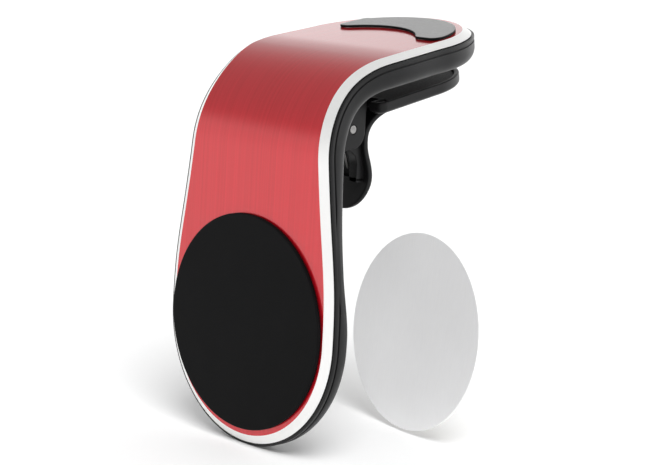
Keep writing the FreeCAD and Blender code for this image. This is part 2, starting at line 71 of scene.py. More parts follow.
# face plate: bend and outline
FACE_Y = 0.85
STRAIGHT = 31.45
BEND_R = 18.85
BEND = math.radians(75.7)
EASE_R = 76.0
EASE = math.radians(4.6)
BEND_END = STRAIGHT + BEND_R * BEND
EASE_END = BEND_END + EASE_R * EASE
BOTTOM_R = 21.9
BOTTOM_S = -0.8
TIP_R = 18.1
TIP_S = 71.5
SIDE = [(21.5, 9.0), (20.05, 19.0), (18.6, 29.0), (17.5, 39.0), (17.25, 49.0), (18.7, 59.0)]
PLATE_T = 1.0
BEVEL_WIDE = 1.6
BEVEL_DEEP = 0.93
TAPE_T = 0.15

# housing
EDGE_OVER = 0.55
BEZEL_BACK = 1.8
GROOVE_DEEP = 0.25
SHELL_TOP = 2.15
SHELL_WALL = 1.2
SHELL_PAD_T = 5.3
SHELL_NECK_T = 4.2
SHELL_ARM_T = 5.8
SHELL_ROUND, SHELL_ROUND_HIGH = 2.0, 2.6
BOSS_R = 19.6
BOSS_T = 5.55

# clip
PIN_Y, PIN_Z, PIN_R = 18.6, 35.55, 0.8
EAR_IN, EAR_OUT, EAR_R, EAR_DROP = 5.6, 7.1, 3.2, 0.6
KNUCKLE_R, KNUCKLE_IN, KNUCKLE_OUT = 2.5, 3.4, 5.4
LEVER_WALL = 1.1
LEVER_HALF, NECK_HALF = 6.8, 6.4
FLARE_WIDE, FLARE_HIGH, FLARE_Z = 5.6, 7.2, 33.5
TAB_END_Z = 19.5
LEVER_LINE = [(24.0, 18.0), (24.5, 23.0), (24.75, 26.7), (24.3, 29.2), (23.6, 31.8), (23.5, 34.6),
              (24.1, 37.6), (25.7, 39.4), (29.0, 40.74)]
WEB = [(16.3, 34.6), (17.6, 32.8), (20.0, 31.2), (21.3, 30.2), (21.8, 28.8), (21.8, 25.4), (24.2, 25.4),
       (23.2, 31.5), (23.0, 34.6), (23.6, 37.6), (25.3, 39.9), (23.4, 40.4), (20.5, 37.4)]
RIDGE = (21.8, 25.2, 2.2, 0.9)
JAW_Y, JAW_Z = 19.95, 40.96
JAW_TILT = math.radians(12.0)
JAW_ROOT, JAW_CORNER, JAW_NOTCH, NOTCH_HALF = -0.3, 1.6, 2.2, 9.6
JAW_HALF, JAW_LONG, JAW_THICK = 12.8, 28.5, 2.1
JAW_RIM, JAW_POCKET, JAW_PAD_GAP, JAW_PAD_SUNK, JAW_UNDER_R = 0.9, 1.1, 0.15, 0.4, 0.8
STRIP_SUNK, STRIP_PROUD = 0.4, 0.7          # rubber strip under the arm
SPRING_WIRE, SPRING_R, SPRING_TURNS, SPRING_PITCH = 0.5, 1.35, 6, 0.56
SPRING_FRONT_END, SPRING_BACK_END = (6.5, 29.4), (23.2, 27.4)

# pads and loose disc
PAD_D, PAD_TAPE_T = 40.0, 0.10
ARM_TAPE_T, ARM_PAD_T = 0.10, 0.45
PHONE_PLATE_D, PHONE_PLATE_T = 38.0, 0.5
PHONE_PLATE_AT = (10.1, 35.1, -3.75)
PHONE_PLATE_TURN = math.radians(-8.1)
PHONE_PLATE_LEAN = math.radians(5.4)


# ---------------------------------------------------------------- geometry of the bent plate

def smooth(value, low, high):
    """0 below low, 1 above high, eased between."""
    t = min(1.0, max(0.0, (value - low) / (high - low)))
    return t * t * (3.0 - 2.0 * t)


def shell_depth(s):
    """Thickness of the whole housing at s."""
    to_neck = (SHELL_NECK_T - SHELL_PAD_T) * smooth(s, 0.0, 12.0)
    to_arm = (SHELL_ARM_T - SHELL_NECK_T) * smooth(s, 13.0, 40.0)
    return SHELL_PAD_T + to_neck + to_arm


def on_panel(x, s, depth):
    """Point at s up the bent plate, below its outer surface."""
    if s <= STRAIGHT:
        return (x, FACE_Y + depth, s)
    turn = min((s - STRAIGHT) / BEND_R, BEND)
    y = FACE_Y + BEND_R * (1 - math.cos(turn))
    z = STRAIGHT + BEND_R * math.sin(turn)
    if s > BEND_END:
        turn = BEND + min((s - BEND_END) / EASE_R, EASE)
        along = max(0.0, s - EASE_END)
        y += EASE_R * (math.cos(BEND) - math.cos(turn)) + along * math.sin(turn)
        z += EASE_R * (math.sin(turn) - math.sin(BEND)) + along * math.cos(turn)
    return (x, y + depth * math.cos(turn), z - depth * math.sin(turn))


def on_jaw(x, run, depth):
    """Point along the lower jaw, below its rim."""
    return (x, JAW_Y + run * math.cos(JAW_TILT) + depth * math.sin(JAW_TILT),
            JAW_Z + run * math.sin(JAW_TILT) - depth * math.cos(JAW_TILT))


class Spline:
    """Cubic curve through points, by chord length, with free or given end slopes."""

    def __init__(self, at, values, end_slope=None):
        self.at = np.array(at, float)
        self.values = np.array(values, float).reshape(len(at), -1)
        count = len(at)
        gap = np.diff(self.at)
        rise = np.diff(self.values, axis=0) / gap[:, None]
        matrix = np.zeros((count, count))
        right = np.zeros_like(self.values)
        for i in range(1, count - 1):
            matrix[i, i - 1:i + 2] = gap[i], 2 * (gap[i - 1] + gap[i]), gap[i - 1]
            right[i] = 3 * (gap[i] * rise[i - 1] + gap[i - 1] * rise[i])
        if end_slope is None:
            matrix[0, :2] = 2, 1
            matrix[-1, -2:] = 1, 2
            right[0], right[-1] = 3 * rise[0], 3 * rise[-1]
        else:
            matrix[0, 0] = matrix[-1, -1] = 1
            right[0] = right[-1] = end_slope
        self.slopes = np.linalg.solve(matrix, right)

    def __call__(self, t):
        """Value and slope at t."""
        i = int(np.clip(np.searchsorted(self.at, t) - 1, 0, len(self.at) - 2))
        gap = self.at[i + 1] - self.at[i]
        u = (t - self.at[i]) / gap
        a, b = self.values[i], self.values[i + 1]
        p, q = self.slopes[i] * gap, self.slopes[i + 1] * gap
        value = (a * (2 * u ** 3 - 3 * u ** 2 + 1) + p * (u ** 3 - 2 * u ** 2 + u)
                 + b * (3 * u ** 2 - 2 * u ** 3) + q * (u ** 3 - u ** 2))
        slope = (a * (6 * u ** 2 - 6 * u) + p * (3 * u ** 2 - 4 * u + 1)
                 + b * (6 * u - 6 * u ** 2) + q * (3 * u ** 2 - 2 * u)) / gap
        return value, slope


# ---------------------------------------------------------------- outlines: right halves, (x, s, normal)

def arc_points(cx, cy, radius, start, end, steps, last=False):
    """Points of an arc with their outward normals, angles in degrees."""
    out = []
    for i in range(steps + (1 if last else 0)):
        a = math.radians(start + (end - start) * i / steps)
        out.append((cx + radius * math.cos(a), cy + radius * math.sin(a), math.cos(a), math.sin(a)))
    return out


def panel_outline():
    right = arc_points(0, BOTTOM_S, BOTTOM_R, -90, 0, 40)
    right[0] = (0.0, BOTTOM_S - BOTTOM_R, 0.0, -1.0)
    knots = [(BOTTOM_R, BOTTOM_S)] + SIDE + [(TIP_R, TIP_S)]
    side = Spline([s for _, s in knots], [w for w, _ in knots], end_slope=0.0)
    steps = 110
    for i in range(steps):
        s = BOTTOM_S + (TIP_S - BOTTOM_S) * i / steps
        w, slope = side(s)
        length = math.hypot(1.0, slope[0])
        right.append((w[0], s, 1.0 / length, -slope[0] / length))
    right += arc_points(0, TIP_S, TIP_R, 0, 90, 40)
    right.append((0.0, TIP_S + TIP_R, 0.0, 1.0))
    return right


def jaw_outline():
    """Root with a notch for the ears, round tip."""
    right = [(0.0, JAW_NOTCH, 0.0, -1.0), (NOTCH_HALF - 0.5, JAW_NOTCH, 0.0, -1.0),
             (NOTCH_HALF, JAW_NOTCH, -1.0, -1.0), (NOTCH_HALF, JAW_NOTCH - 0.5, -1.0, 0.0),
             (NOTCH_HALF, JAW_ROOT + 0.2, -1.0, 0.0), (NOTCH_HALF, JAW_ROOT, -1.0, -1.0),
             (NOTCH_HALF + 0.2, JAW_ROOT, 0.0, -1.0)]
    right += arc_points(JAW_HALF - JAW_CORNER, JAW_ROOT + JAW_CORNER, JAW_CORNER, -90, 0, 10, last=True)
    right += arc_points(0, JAW_LONG - JAW_HALF, JAW_HALF, 0, 90, 40)
    right.append((0.0, JAW_LONG, 0.0, 1.0))
    return right


def strip_outline():
    """Rounded strip under the arm."""
    half, low, turn = 8.9, 65.1, 75.0
    right = [(0.0, low, 0.0, -1.0)]
    right += arc_points(half - 1.0, low + 1.0, 1.0, -90, 0, 6, last=True)
    right += arc_points(0, turn, half, 0, 90, 24)
    right.append((0.0, turn + half, 0.0, 1.0))
    return right


# ---------------------------------------------------------------- mesh helpers

def new_object(name, verts, faces, materials, face_slots=None, uvs=None):
    mesh = bpy.data.meshes.new(name)
    mesh.from_pydata([(x * MM, y * MM, z * MM) for x, y, z in verts], [], faces)
    for material in materials:
        mesh.materials.append(material)
    if face_slots:
        mesh.polygons.foreach_set("material_index", face_slots)
    if uvs:
        layer = mesh.uv_layers.new(name="grain")
        for loop in mesh.loops:
            layer.data[loop.index].uv = uvs[loop.vertex_index]
    piece = bpy.data.objects.new(name, mesh)
    bpy.context.scene.collection.objects.link(piece)
    return piece


def tidy(piece, angle=28.0, weld=1e-7):
    """Outward faces, smooth shading, and crisp edges where faces meet at more than the angle."""
    mesh = piece.data
    work = bmesh.new()
    work.from_mesh(mesh)
    bmesh.ops.remove_doubles(work, verts=work.verts, dist=weld)
    bmesh.ops.dissolve_degenerate(work, edges=work.edges, dist=1e-8)
    bmesh.ops.recalc_face_normals(work, faces=work.faces)
    for face in work.faces:
        face.smooth = True
    for edge in work.edges:
        edge.smooth = len(edge.link_faces) == 2 and edge.calc_face_angle(0.0) < math.radians(angle)
    work.to_mesh(mesh)
    work.free()
    weighted = piece.modifiers.new("weighted", "WEIGHTED_NORMAL")
    weighted.keep_sharp = True
    weighted.weight = 80
    return piece


class Builder:
    """Collects the vertices and faces of one piece."""

    def __init__(self):
        self.verts, self.faces, self.slots, self.uvs = [], [], [], []

    def add(self, point, uv=(0.0, 0.0)):
        self.verts.append(point)
        self.uvs.append(uv)
        return len(self.verts) - 1

    def face(self, ids, slot=0):
        distinct = []
        for i in ids:
            if i not in distinct:
                distinct.append(i)
        if len(distinct) > 2:
            self.faces.append(distinct)
            self.slots.append(slot)

    def rings(self, loops, slots=None, closed=True):
        """Quads between loops of vertex ids."""
        for k in range(len(loops) - 1):
            a, b = loops[k], loops[k + 1]
            count = len(a)
            for i in range(count if closed else count - 1):
                j = (i + 1) % count
                self.face([a[i], a[j], b[j], b[i]], slots[k] if slots else 0)

    def make(self, name, materials, angle=28.0):
        piece = new_object(name, self.verts, self.faces, materials, self.slots, self.uvs)
        return tidy(piece, angle)


def skin(builder, right, pairs, place, slots=None, cap_slots=(0, 0), notched=False):
    """Skin of a mirrored outline: one ring for each (inset, depth) pair, closed by flat strips."""
    left = [(i, p) for i, p in enumerate(right) if p[0] > 1e-6][::-1]
    partner = {i: i for i in range(len(right))}
    for k, (i, _) in enumerate(left):
        partner[i] = len(right) + k
    loops = []
    for inset, depth in pairs:
        loop = []
        for x, s, nx, ns in right + [(-p[0], p[1], -p[2], p[3]) for _, p in left]:
            px, ps = x - nx * inset, s - ns * inset
            d = depth(ps) if callable(depth) else depth
            loop.append(builder.add(place(px, ps, d), (px / 50.0 + 0.5, (ps + 25.0) / 120.0)))
        loops.append(loop)
    builder.rings(loops, slots)
    for loop, slot in ((loops[0], cap_slots[0]), (loops[-1], cap_slots[1])):
        if notched:
            for triangle in tessellate_polygon([[Vector(builder.verts[i]) for i in loop]]):
                builder.face([loop[i] for i in triangle], slot)
            continue
        for j in range(len(right) - 1):
            builder.face([loop[partner[j]], loop[j], loop[j + 1], loop[partner[j + 1]]], slot)


def lathe(builder, profile, place, steps=160, slots=None):
    """Turned shape: profile of (radius, along) pairs, where place maps (u, v, along) to a point."""
    loops = []
    for radius, along in profile:
        if radius < 1e-6:
            loops.append([builder.add(place(0, 0, along))] * steps)
            continue
        ring = []
        for i in range(steps):
            a = 2 * math.pi * i / steps
            u, v = radius * math.cos(a), radius * math.sin(a)
            ring.append(builder.add(place(u, v, along), (u / 50.0 + 0.5, v / 50.0 + 0.5)))
        loops.append(ring)
    builder.rings(loops, slots)
    return loops


def tube(builder, points, radius, sides=14):
    """Round wire along points, closed at both ends."""
    pts = [Vector(p) for p in points]
    normal = None
    loops = []
    for i, p in enumerate(pts):
        tangent = (pts[min(i + 1, len(pts) - 1)] - pts[max(i - 1, 0)]).normalized()
        if normal is None:
            normal = tangent.orthogonal().normalized()
        normal = (normal - tangent * normal.dot(tangent)).normalized()
        side = tangent.cross(normal)
        loops.append([builder.add(tuple(p + (normal * math.cos(a) + side * math.sin(a)) * radius))
                      for a in (2 * math.pi * k / sides for k in range(sides))])
    builder.rings(loops)
    for loop in (loops[0], loops[-1]):
        builder.face(loop)


def slab(builder, outline, low, high, edge=0.25, steps=3, hole=None):
    """Flat plate across X with rounded edges and, if asked, a round hole (y, z, radius)."""
    count = len(outline)
    pts = [np.array(p, float) for p in outline]
    area = sum(pts[i][0] * pts[(i + 1) % count][1] - pts[(i + 1) % count][0] * pts[i][1]
               for i in range(count))
    sign = 1.0 if area > 0 else -1.0
    normals = []
    for i in range(count):
        before = pts[i] - pts[i - 1]
        after = pts[(i + 1) % count] - pts[i]
        n1 = sign * np.array([before[1], -before[0]]) / np.linalg.norm(before)
        n2 = sign * np.array([after[1], -after[0]]) / np.linalg.norm(after)
        mean = (n1 + n2) / np.linalg.norm(n1 + n2)
        normals.append(mean / max(0.5, float(mean @ n1)))
    levels = []
    for i in range(steps + 1):
        a = math.pi / 2 * i / steps
        levels.append((edge * (1 - math.sin(a)), low + edge * (1 - math.cos(a))))
    for i in range(steps + 1):
        a = math.pi / 2 * i / steps
        levels.append((edge * (1 - math.cos(a)), high - edge * (1 - math.sin(a))))
    loops = []
    for inset, x in levels:
        loops.append([builder.add((x, *(pts[i] - normals[i] * inset))) for i in range(count)])
    builder.rings(loops)
    if hole is None:
        builder.face(loops[0])
        builder.face(loops[-1])
        return
    y, z, radius = hole
    bore = []
    for extra, x in ((0.1, low), (0.0, low + 0.1), (0.0, high - 0.1), (0.1, high)):
        bore.append([builder.add((x, y + (radius + extra) * math.cos(a), z + (radius + extra) * math.sin(a)))
                     for a in (2 * math.pi * k / 40 for k in range(40))])
    builder.rings(bore)
    for outer, inner in ((loops[0], bore[0]), (loops[-1], bore[-1])):
        rims = [[Vector(builder.verts[i]) for i in loop] for loop in (outer, inner)]
        ids = outer + inner
        for triangle in tessellate_polygon(rims):
            builder.face([ids[i] for i in triangle])


# ---------------------------------------------------------------- materials

def node_material(name, **sockets):
    """Material with its Principled shader's own sockets set, and short helpers for its nodes."""
    material = bpy.data.materials.new(name)
    material.use_nodes = True
    tree = material.node_tree
    shader = tree.nodes["Principled BSDF"]
    for key, value in sockets.items():
        shader.inputs[key.replace("_", " ")].default_value = value
    return material, tree, shader


def add_node(tree, kind, inputs=None, **settings):
    node = tree.nodes.new(kind)
    for key, value in settings.items():
        setattr(node, key, value)
    for key, value in (inputs or {}).items():
        if isinstance(value, bpy.types.NodeSocket):
            tree.links.new(value, node.inputs[key])
        else:
            node.inputs[key].default_value = value
    return node


def noise(tree, vector, scale, detail=4.0, roughness=0.55):
    return add_node(tree, "ShaderNodeTexNoise", {"Vector": vector, "Scale": scale, "Detail": detail,
                                                 "Roughness": roughness}).outputs["Fac"]


def ranged(tree, value, low, high, from_low=0.3, from_high=0.7):
    return add_node(tree, "ShaderNodeMapRange", {"Value": value, "From Min": from_low, "From Max": from_high,
                                                 "To Min": low, "To Max": high}).outputs["Result"]


def blend_colours(tree, factor, first, second):
    node = add_node(tree, "ShaderNodeMix", {"Factor": factor}, data_type="RGBA")
    node.inputs["A"].default_value = (*first, 1.0)
    node.inputs["B"].default_value = (*second, 1.0)
    for socket, value in ((node.inputs[6], first), (node.inputs[7], second)):
        socket.default_value = (*value, 1.0)
    return node.outputs[2]


def tinted(tree, shader, factor, first, second):
    """Base colour between two tones."""
    tree.links.new(blend_colours(tree, factor, first, second), shader.inputs["Base Color"])


def roughened(tree, shader, factor, low, high):
    tree.links.new(ranged(tree, factor, low, high), shader.inputs["Roughness"])


def bumped(tree, shader, height, strength, distance):
    inputs = {"Height": height, "Strength": strength, "Distance": distance}
    tree.links.new(add_node(tree, "ShaderNodeBump", inputs).outputs["Normal"], shader.inputs["Normal"])


def stretched(tree, source, scale):
    return add_node(tree, "ShaderNodeMapping", {"Vector": source, "Scale": scale}).outputs["Vector"]


def object_coords(tree):
    return add_node(tree, "ShaderNodeTexCoord").outputs["Object"]


def grain_coords(tree):
    return add_node(tree, "ShaderNodeUVMap", uv_map="grain").outputs["UV"]


EDGE_TINT = (0.04, 0.08, 0.08, 1.0)


def red_aluminium():
    """Red anodised plate, brushed up and down its length."""
    material, tree, shader = node_material("red_aluminium", Metallic=0.8, Anisotropic=0.6, Coat_Weight=1.0,
                                           Coat_Roughness=0.13, Coat_IOR=1.7, Specular_Tint=EDGE_TINT)
    uv = grain_coords(tree)
    fine = noise(tree, stretched(tree, uv, (520.0, 3.0, 1.0)), 1.0, 6.0, 0.7)
    broad = noise(tree, stretched(tree, uv, (90.0, 1.4, 1.0)), 1.0, 3.0, 0.6)
    both = add_node(tree, "ShaderNodeMath", {0: fine, 1: broad}, operation="ADD").outputs[0]
    factor = ranged(tree, both, 0.0, 1.0, 0.75, 1.25)
    tinted(tree, shader, factor, (0.58, 0.004, 0.013), (0.70, 0.009, 0.022))
    roughened(tree, shader, fine, 0.38, 0.50)
    tangent = add_node(tree, "ShaderNodeTangent", direction_type="UV_MAP", uv_map="grain")
    tree.links.new(tangent.outputs["Tangent"], shader.inputs["Tangent"])
    bumped(tree, shader, fine, 0.25, 0.00002)
    return material


def cut_aluminium():
    """Bare diamond-cut edge of the plate."""
    material, tree, shader = node_material("cut_aluminium", Metallic=0.7)
    coords = object_coords(tree)
    fine = noise(tree, coords, 700.0, 3.0)
    tinted(tree, shader, fine, (0.88, 0.88, 0.87), (0.92, 0.92, 0.91))
    roughened(tree, shader, fine, 0.42, 0.50)
    return material


def black_plastic():
    """Moulded black plastic with a fine spark texture."""
    material, tree, shader = node_material("black_plastic", Specular_IOR_Level=0.22)
    coords = object_coords(tree)
    fine = noise(tree, coords, 5200.0, 2.0)
    broad = noise(tree, coords, 260.0, 3.0)
    tinted(tree, shader, broad, (0.008, 0.008, 0.0085), (0.013, 0.013, 0.0135))
    roughened(tree, shader, broad, 0.34, 0.44)
    bumped(tree, shader, fine, 0.22, 0.00003)
    return material


def pad_rubber():
    """Smooth matt rubber with faint mottling."""
    material, tree, shader = node_material("pad_rubber", Specular_IOR_Level=0.08)
    coords = object_coords(tree)
    fine = noise(tree, coords, 3800.0, 4.0)
    broad = noise(tree, coords, 160.0, 4.0)
    tinted(tree, shader, broad, (0.0028, 0.0028, 0.0030), (0.0044, 0.0044, 0.0047))
    roughened(tree, shader, fine, 0.55, 0.68)
    bumped(tree, shader, fine, 0.18, 0.00003)
    return material


def crescent_rubber():
    """Grained rubber of the arm pad's top, with its base colour painted lighter than the dark rubber of the
    pad's sides: a painted sheen of light grazing the top.
    """
    material, tree, shader = node_material("crescent_rubber", Specular_IOR_Level=0.8, Sheen_Weight=0.6,
                                           Sheen_Roughness=0.4)
    coords = object_coords(tree)
    grain = noise(tree, coords, 1500.0, 3.0, 0.7)
    factor = ranged(tree, grain, 0.0, 1.0, 0.36, 0.64)
    # Both tones are painted lighter than the rubber's own dark colour, as a painted sheen of grazing light.
    # The noise between them is the rubber's grain.
    tinted(tree, shader, factor, (0.014, 0.014, 0.014), (0.105, 0.103, 0.102))
    roughened(tree, shader, grain, 0.42, 0.58)
    bumped(tree, shader, grain, 0.8, 0.00010)
    return material


def jaw_rubber():
    """Soft smooth rubber inside the jaws."""
    material, tree, shader = node_material("jaw_rubber", Specular_IOR_Level=0.35)
    grain = noise(tree, object_coords(tree), 2800.0, 4.0)
    tinted(tree, shader, grain, (0.010, 0.010, 0.011), (0.018, 0.018, 0.019))
    roughened(tree, shader, grain, 0.50, 0.66)
    bumped(tree, shader, grain, 0.3, 0.00004)
    return material


def bright_steel():
    """Turned and drawn steel of the pin and spring."""
    material, tree, shader = node_material("bright_steel", Metallic=1.0)
    fine = noise(tree, object_coords(tree), 6000.0, 3.0)
    tinted(tree, shader, fine, (0.25, 0.245, 0.24), (0.33, 0.325, 0.32))
    roughened(tree, shader, fine, 0.30, 0.40)
    return material


def disc_steel():
    """Satin steel disc with a faint rolled grain."""
    material, tree, shader = node_material("disc_steel", Metallic=0.25)
    coords = object_coords(tree)
    rolled = noise(tree, stretched(tree, coords, (3200.0, 3200.0, 90.0)), 1.0, 5.0, 0.65)
    broad = noise(tree, coords, 55.0, 2.0)
    both = add_node(tree, "ShaderNodeMath", {0: rolled, 1: broad}, operation="ADD").outputs[0]
    factor = ranged(tree, both, 0.0, 1.0, 0.7, 1.3)
    tinted(tree, shader, factor, (0.88, 0.88, 0.885), (0.93, 0.93, 0.935))
    roughened(tree, shader, rolled, 0.42, 0.50)
    bumped(tree, shader, rolled, 0.06, 0.00001)
    return material


def plain_surface(name, first, second, rough, metal=0.0, scale=900.0):
    """Hidden or minor surfaces: two close tones, a little unevenness."""
    material, tree, shader = node_material(name, Metallic=metal)
    mottle = noise(tree, object_coords(tree), scale, 4.0)
    tinted(tree, shader, mottle, first, second)
    roughened(tree, shader, mottle, rough - 0.06, rough + 0.06)
    bumped(tree, shader, mottle, 0.1, 0.00002)
    return material


# ---------------------------------------------------------------- camera, lights and floor

CAMERA_AT = (258.919, -233.077, 76.917)
CAMERA_AZIMUTH, CAMERA_ELEVATION, CAMERA_ROLL = 45.757, 9.697, 3.278
CAMERA_LENS = 108.66


def add_camera():
    data = bpy.data.cameras.new("camera")
    data.sensor_width = 36.0
    data.lens = CAMERA_LENS
    data.clip_start = 0.01
    data.clip_end = 50.0
    camera = bpy.data.objects.new("camera", data)
    bpy.context.scene.collection.objects.link(camera)
    camera.location = Vector(CAMERA_AT) * MM
    a, e = math.radians(CAMERA_AZIMUTH), math.radians(CAMERA_ELEVATION)
    back = Vector((math.sin(a) * math.cos(e), -math.cos(a) * math.cos(e), math.sin(e)))
    aim = (-back).to_track_quat("-Z", "Y")
    roll = Quaternion((0, 0, 1), math.radians(CAMERA_ROLL))
    camera.rotation_mode = "QUATERNION"
    camera.rotation_quaternion = aim @ roll
    bpy.context.scene.camera = camera


def add_sun(towards):
    """Wide, soft key light from a direction."""
    data = bpy.data.lights.new("key", "SUN")
    data.energy = KEY_STRENGTH
    data.angle = math.radians(35.0)
    lamp = bpy.data.objects.new("key", data)
    bpy.context.scene.collection.objects.link(lamp)
    lamp.rotation_mode = "QUATERNION"
    lamp.rotation_quaternion = (-Vector(towards)).to_track_quat("-Z", "Y")
    lamp.visible_glossy = False


KEY_STRENGTH = 2.6
FLOOR_HALF = 6000
# brightness of the studio: low in front, high in front, low behind, above behind, straight above
FRONT_LOW, FRONT_HIGH, BACK_LOW, BACK_MID, BACK_TOP = 1.00, 0.48, 1.8, 0.80, 0.58


def add_world():
    """White studio: bright sweep low behind the object, softer overhead."""
    world = bpy.data.worlds.new("studio")
    bpy.context.scene.world = world
    world.use_nodes = True
    tree = world.node_tree
    direction = add_node(tree, "ShaderNodeTexCoord").outputs["Generated"]
    parts = add_node(tree, "ShaderNodeSeparateXYZ", {"Vector": direction}).outputs

    def ramp(value, from_low, from_high, low, high):
        sockets = {"Value": value, "From Min": from_low, "From Max": from_high, "To Min": low, "To Max": high}
        node = add_node(tree, "ShaderNodeMapRange", sockets, interpolation_type="SMOOTHSTEP")
        return node.outputs["Result"]

    front = ramp(parts["Z"], 0.12, 0.34, FRONT_LOW, FRONT_HIGH)
    back = ramp(parts["Z"], 0.22, 0.42, BACK_LOW, BACK_MID)
    fall = ramp(parts["Z"], 0.45, 0.85, 1.0, BACK_TOP / BACK_MID)
    behind = add_node(tree, "ShaderNodeMath", {0: back, 1: fall}, operation="MULTIPLY").outputs[0]
    turn = ramp(parts["Y"], -0.1, 0.5, 0.0, 1.0)
    level = add_node(tree, "ShaderNodeMix", {"Factor": turn}, data_type="FLOAT")
    tree.links.new(front, level.inputs[2])
    tree.links.new(behind, level.inputs[3])
    background = tree.nodes["Background"]
    background.inputs["Color"].default_value = (1.0, 1.0, 1.0, 1.0)
    tree.links.new(level.outputs[0], background.inputs["Strength"])


def add_studio():
    bpy.context.scene.view_settings.view_transform = "Standard"
    add_world()
    add_sun((0.5, -0.35, 0.8))
    paper = plain_surface("floor_paper", (0.88, 0.88, 0.88), (0.90, 0.90, 0.90), 0.8)
    half = FLOOR_HALF
    floor = new_object("floor", [(-half, -half, 0), (half, -half, 0), (half, half, 0), (-half, half, 0)],
                       [(0, 1, 2, 3)], [paper])
    floor.location.z = cad_low.z


# ---------------------------------------------------------------- pieces of the mount

def add_face_plate(red, silver):
    pairs = [(0.25, PLATE_T), (0.06, PLATE_T), (0.0, PLATE_T - 0.03), (0.0, BEVEL_DEEP),
             (BEVEL_WIDE * 0.02, BEVEL_DEEP * 0.98), (BEVEL_WIDE * 0.98, BEVEL_DEEP * 0.02),
             (BEVEL_WIDE, 0.0), (BEVEL_WIDE + 0.1, 0.0)]
    build = Builder()
    skin(build, panel_outline(), pairs, on_panel, slots=[1, 1, 1, 1, 1, 1, 0], cap_slots=(1, 0))
    return build.make("plate", [red, silver], angle=20.0)


def add_bezel(plastic):
    """Thin frame behind the plate."""
    top = PLATE_T + TAPE_T
    edge = 0.07
    inward = 2.0
    pairs = [(inward, top), (-EDGE_OVER + edge, top), (-EDGE_OVER + 0.3 * edge, top + 0.3 * edge),
             (-EDGE_OVER, top + edge), (-EDGE_OVER, BEZEL_BACK - edge),
             (-EDGE_OVER + 0.3 * edge, BEZEL_BACK - 0.3 * edge), (-EDGE_OVER + edge, BEZEL_BACK),
             (inward, BEZEL_BACK)]
    build = Builder()
    skin(build, panel_outline(), pairs, on_panel)
    return build.make("bezel", [plastic], angle=50.0)


def add_shell(plastic):
    build = Builder()
    inside = 1.0
    groove = GROOVE_DEEP - EDGE_OVER

    def floor_depth(s):
        return shell_depth(s) - SHELL_WALL

    pairs = [(inside + 0.3, floor_depth), (inside, floor_depth), (inside, BEZEL_BACK),
             (groove, BEZEL_BACK), (groove, SHELL_TOP), (-EDGE_OVER + 0.1, SHELL_TOP),
             (-EDGE_OVER + 0.03, SHELL_TOP + 0.03), (-EDGE_OVER, SHELL_TOP + 0.1)]
    steps = 12
    for i in range(steps + 1):
        a = math.pi / 2 * i / steps
        inset = -EDGE_OVER + SHELL_ROUND * (1 - math.cos(a))
        lift = SHELL_ROUND_HIGH * (1 - math.sin(a))
        pairs.append((inset, lambda s, lift=lift: shell_depth(s) - lift))
    pairs.append((SHELL_ROUND + 0.2, lambda s: shell_depth(s)))
    skin(build, panel_outline(), pairs, on_panel)
    boss = [(BOSS_R, 3.9), (BOSS_R, BOSS_T - 0.5), (BOSS_R - 0.07, BOSS_T - 0.25),
            (BOSS_R - 0.25, BOSS_T - 0.07), (BOSS_R - 0.5, BOSS_T), (BOSS_R - 0.8, BOSS_T), (0.0, BOSS_T)]
    lathe(build, boss, lambda u, v, along: (u, FACE_Y + along, v))
    for side in (-1, 1):
        low, high = (EAR_IN, EAR_OUT) if side > 0 else (-EAR_OUT, -EAR_IN)
        slab(build, ear_outline(), low, high, 0.3, hole=(PIN_Y, PIN_Z, PIN_R + 0.07))
    return build.make("shell", [plastic], angle=40.0)


def ear_outline():
    """Side view of an ear: round below the pin, grown into the shell above and in front."""
    arc = arc_points(PIN_Y, PIN_Z - EAR_DROP, EAR_R, -90, 0, 14, last=True)
    outline = [(y, z) for y, z, _, _ in arc]
    in_wall = [on_panel(0, s, shell_depth(s) - SHELL_WALL / 2)
               for s in (66.5, 62.0, 56.0, 50.0, 44.0, 38.0, 30.0)]
    outline.append((PIN_Y + EAR_R, in_wall[0][2]))
    outline += [(y, z) for _, y, z in in_wall[1:]]
    return outline


def lever_curve():
    """Curve of the lever's back line by its own length, running into the jaw's underside."""
    at = [0.0]
    for a, b in zip(LEVER_LINE, LEVER_LINE[1:]):
        at.append(at[-1] + math.dist(a, b))
    return Spline(at, LEVER_LINE)


LEVER_CURVE = lever_curve()


def on_lever(x, s, depth):
    """Point on the lever's wall: s along its back from the tab's end, depth towards its inside."""
    value, slope = LEVER_CURVE(s)
    length = math.hypot(*slope)
    return (x, value[0] - slope[1] / length * depth, value[1] + slope[0] / length * depth)


def lever_outline():
    """Flat outline of the thumb tab, neck and flare, with s along the lever's back line."""
    low = float(np.interp(TAB_END_Z, [z for _, z in LEVER_LINE], LEVER_CURVE.at))
    top = float(LEVER_CURVE.at[-1])
    right = arc_points(0, low + LEVER_HALF, LEVER_HALF, -90, 0, 30)
    right[0] = (0.0, low, 0.0, -1.0)
    steps = 70
    places = []
    for i in range(steps + 1):
        s = low + LEVER_HALF + (top - low - LEVER_HALF) * i / steps
        places.append((lever_half(s, low), s))
    for i, (w, s) in enumerate(places):
        before, after = places[max(i - 1, 0)], places[min(i + 1, steps)]
        dw, ds = after[0] - before[0], after[1] - before[1]
        length = math.hypot(dw, ds)
        right.append((w, s, ds / length, -dw / length))
    return right


def lever_half(s, low):
    """Half width of the lever's wall at s."""
    z = float(LEVER_CURVE(s)[0][1])
    w = LEVER_HALF + (NECK_HALF - LEVER_HALF) * smooth(s, low + LEVER_HALF, low + LEVER_HALF + 6.0)
    if z > FLARE_Z:
        rise = min((z - FLARE_Z) / FLARE_HIGH, 1.0)
        w += FLARE_WIDE * rise ** 2
    return w


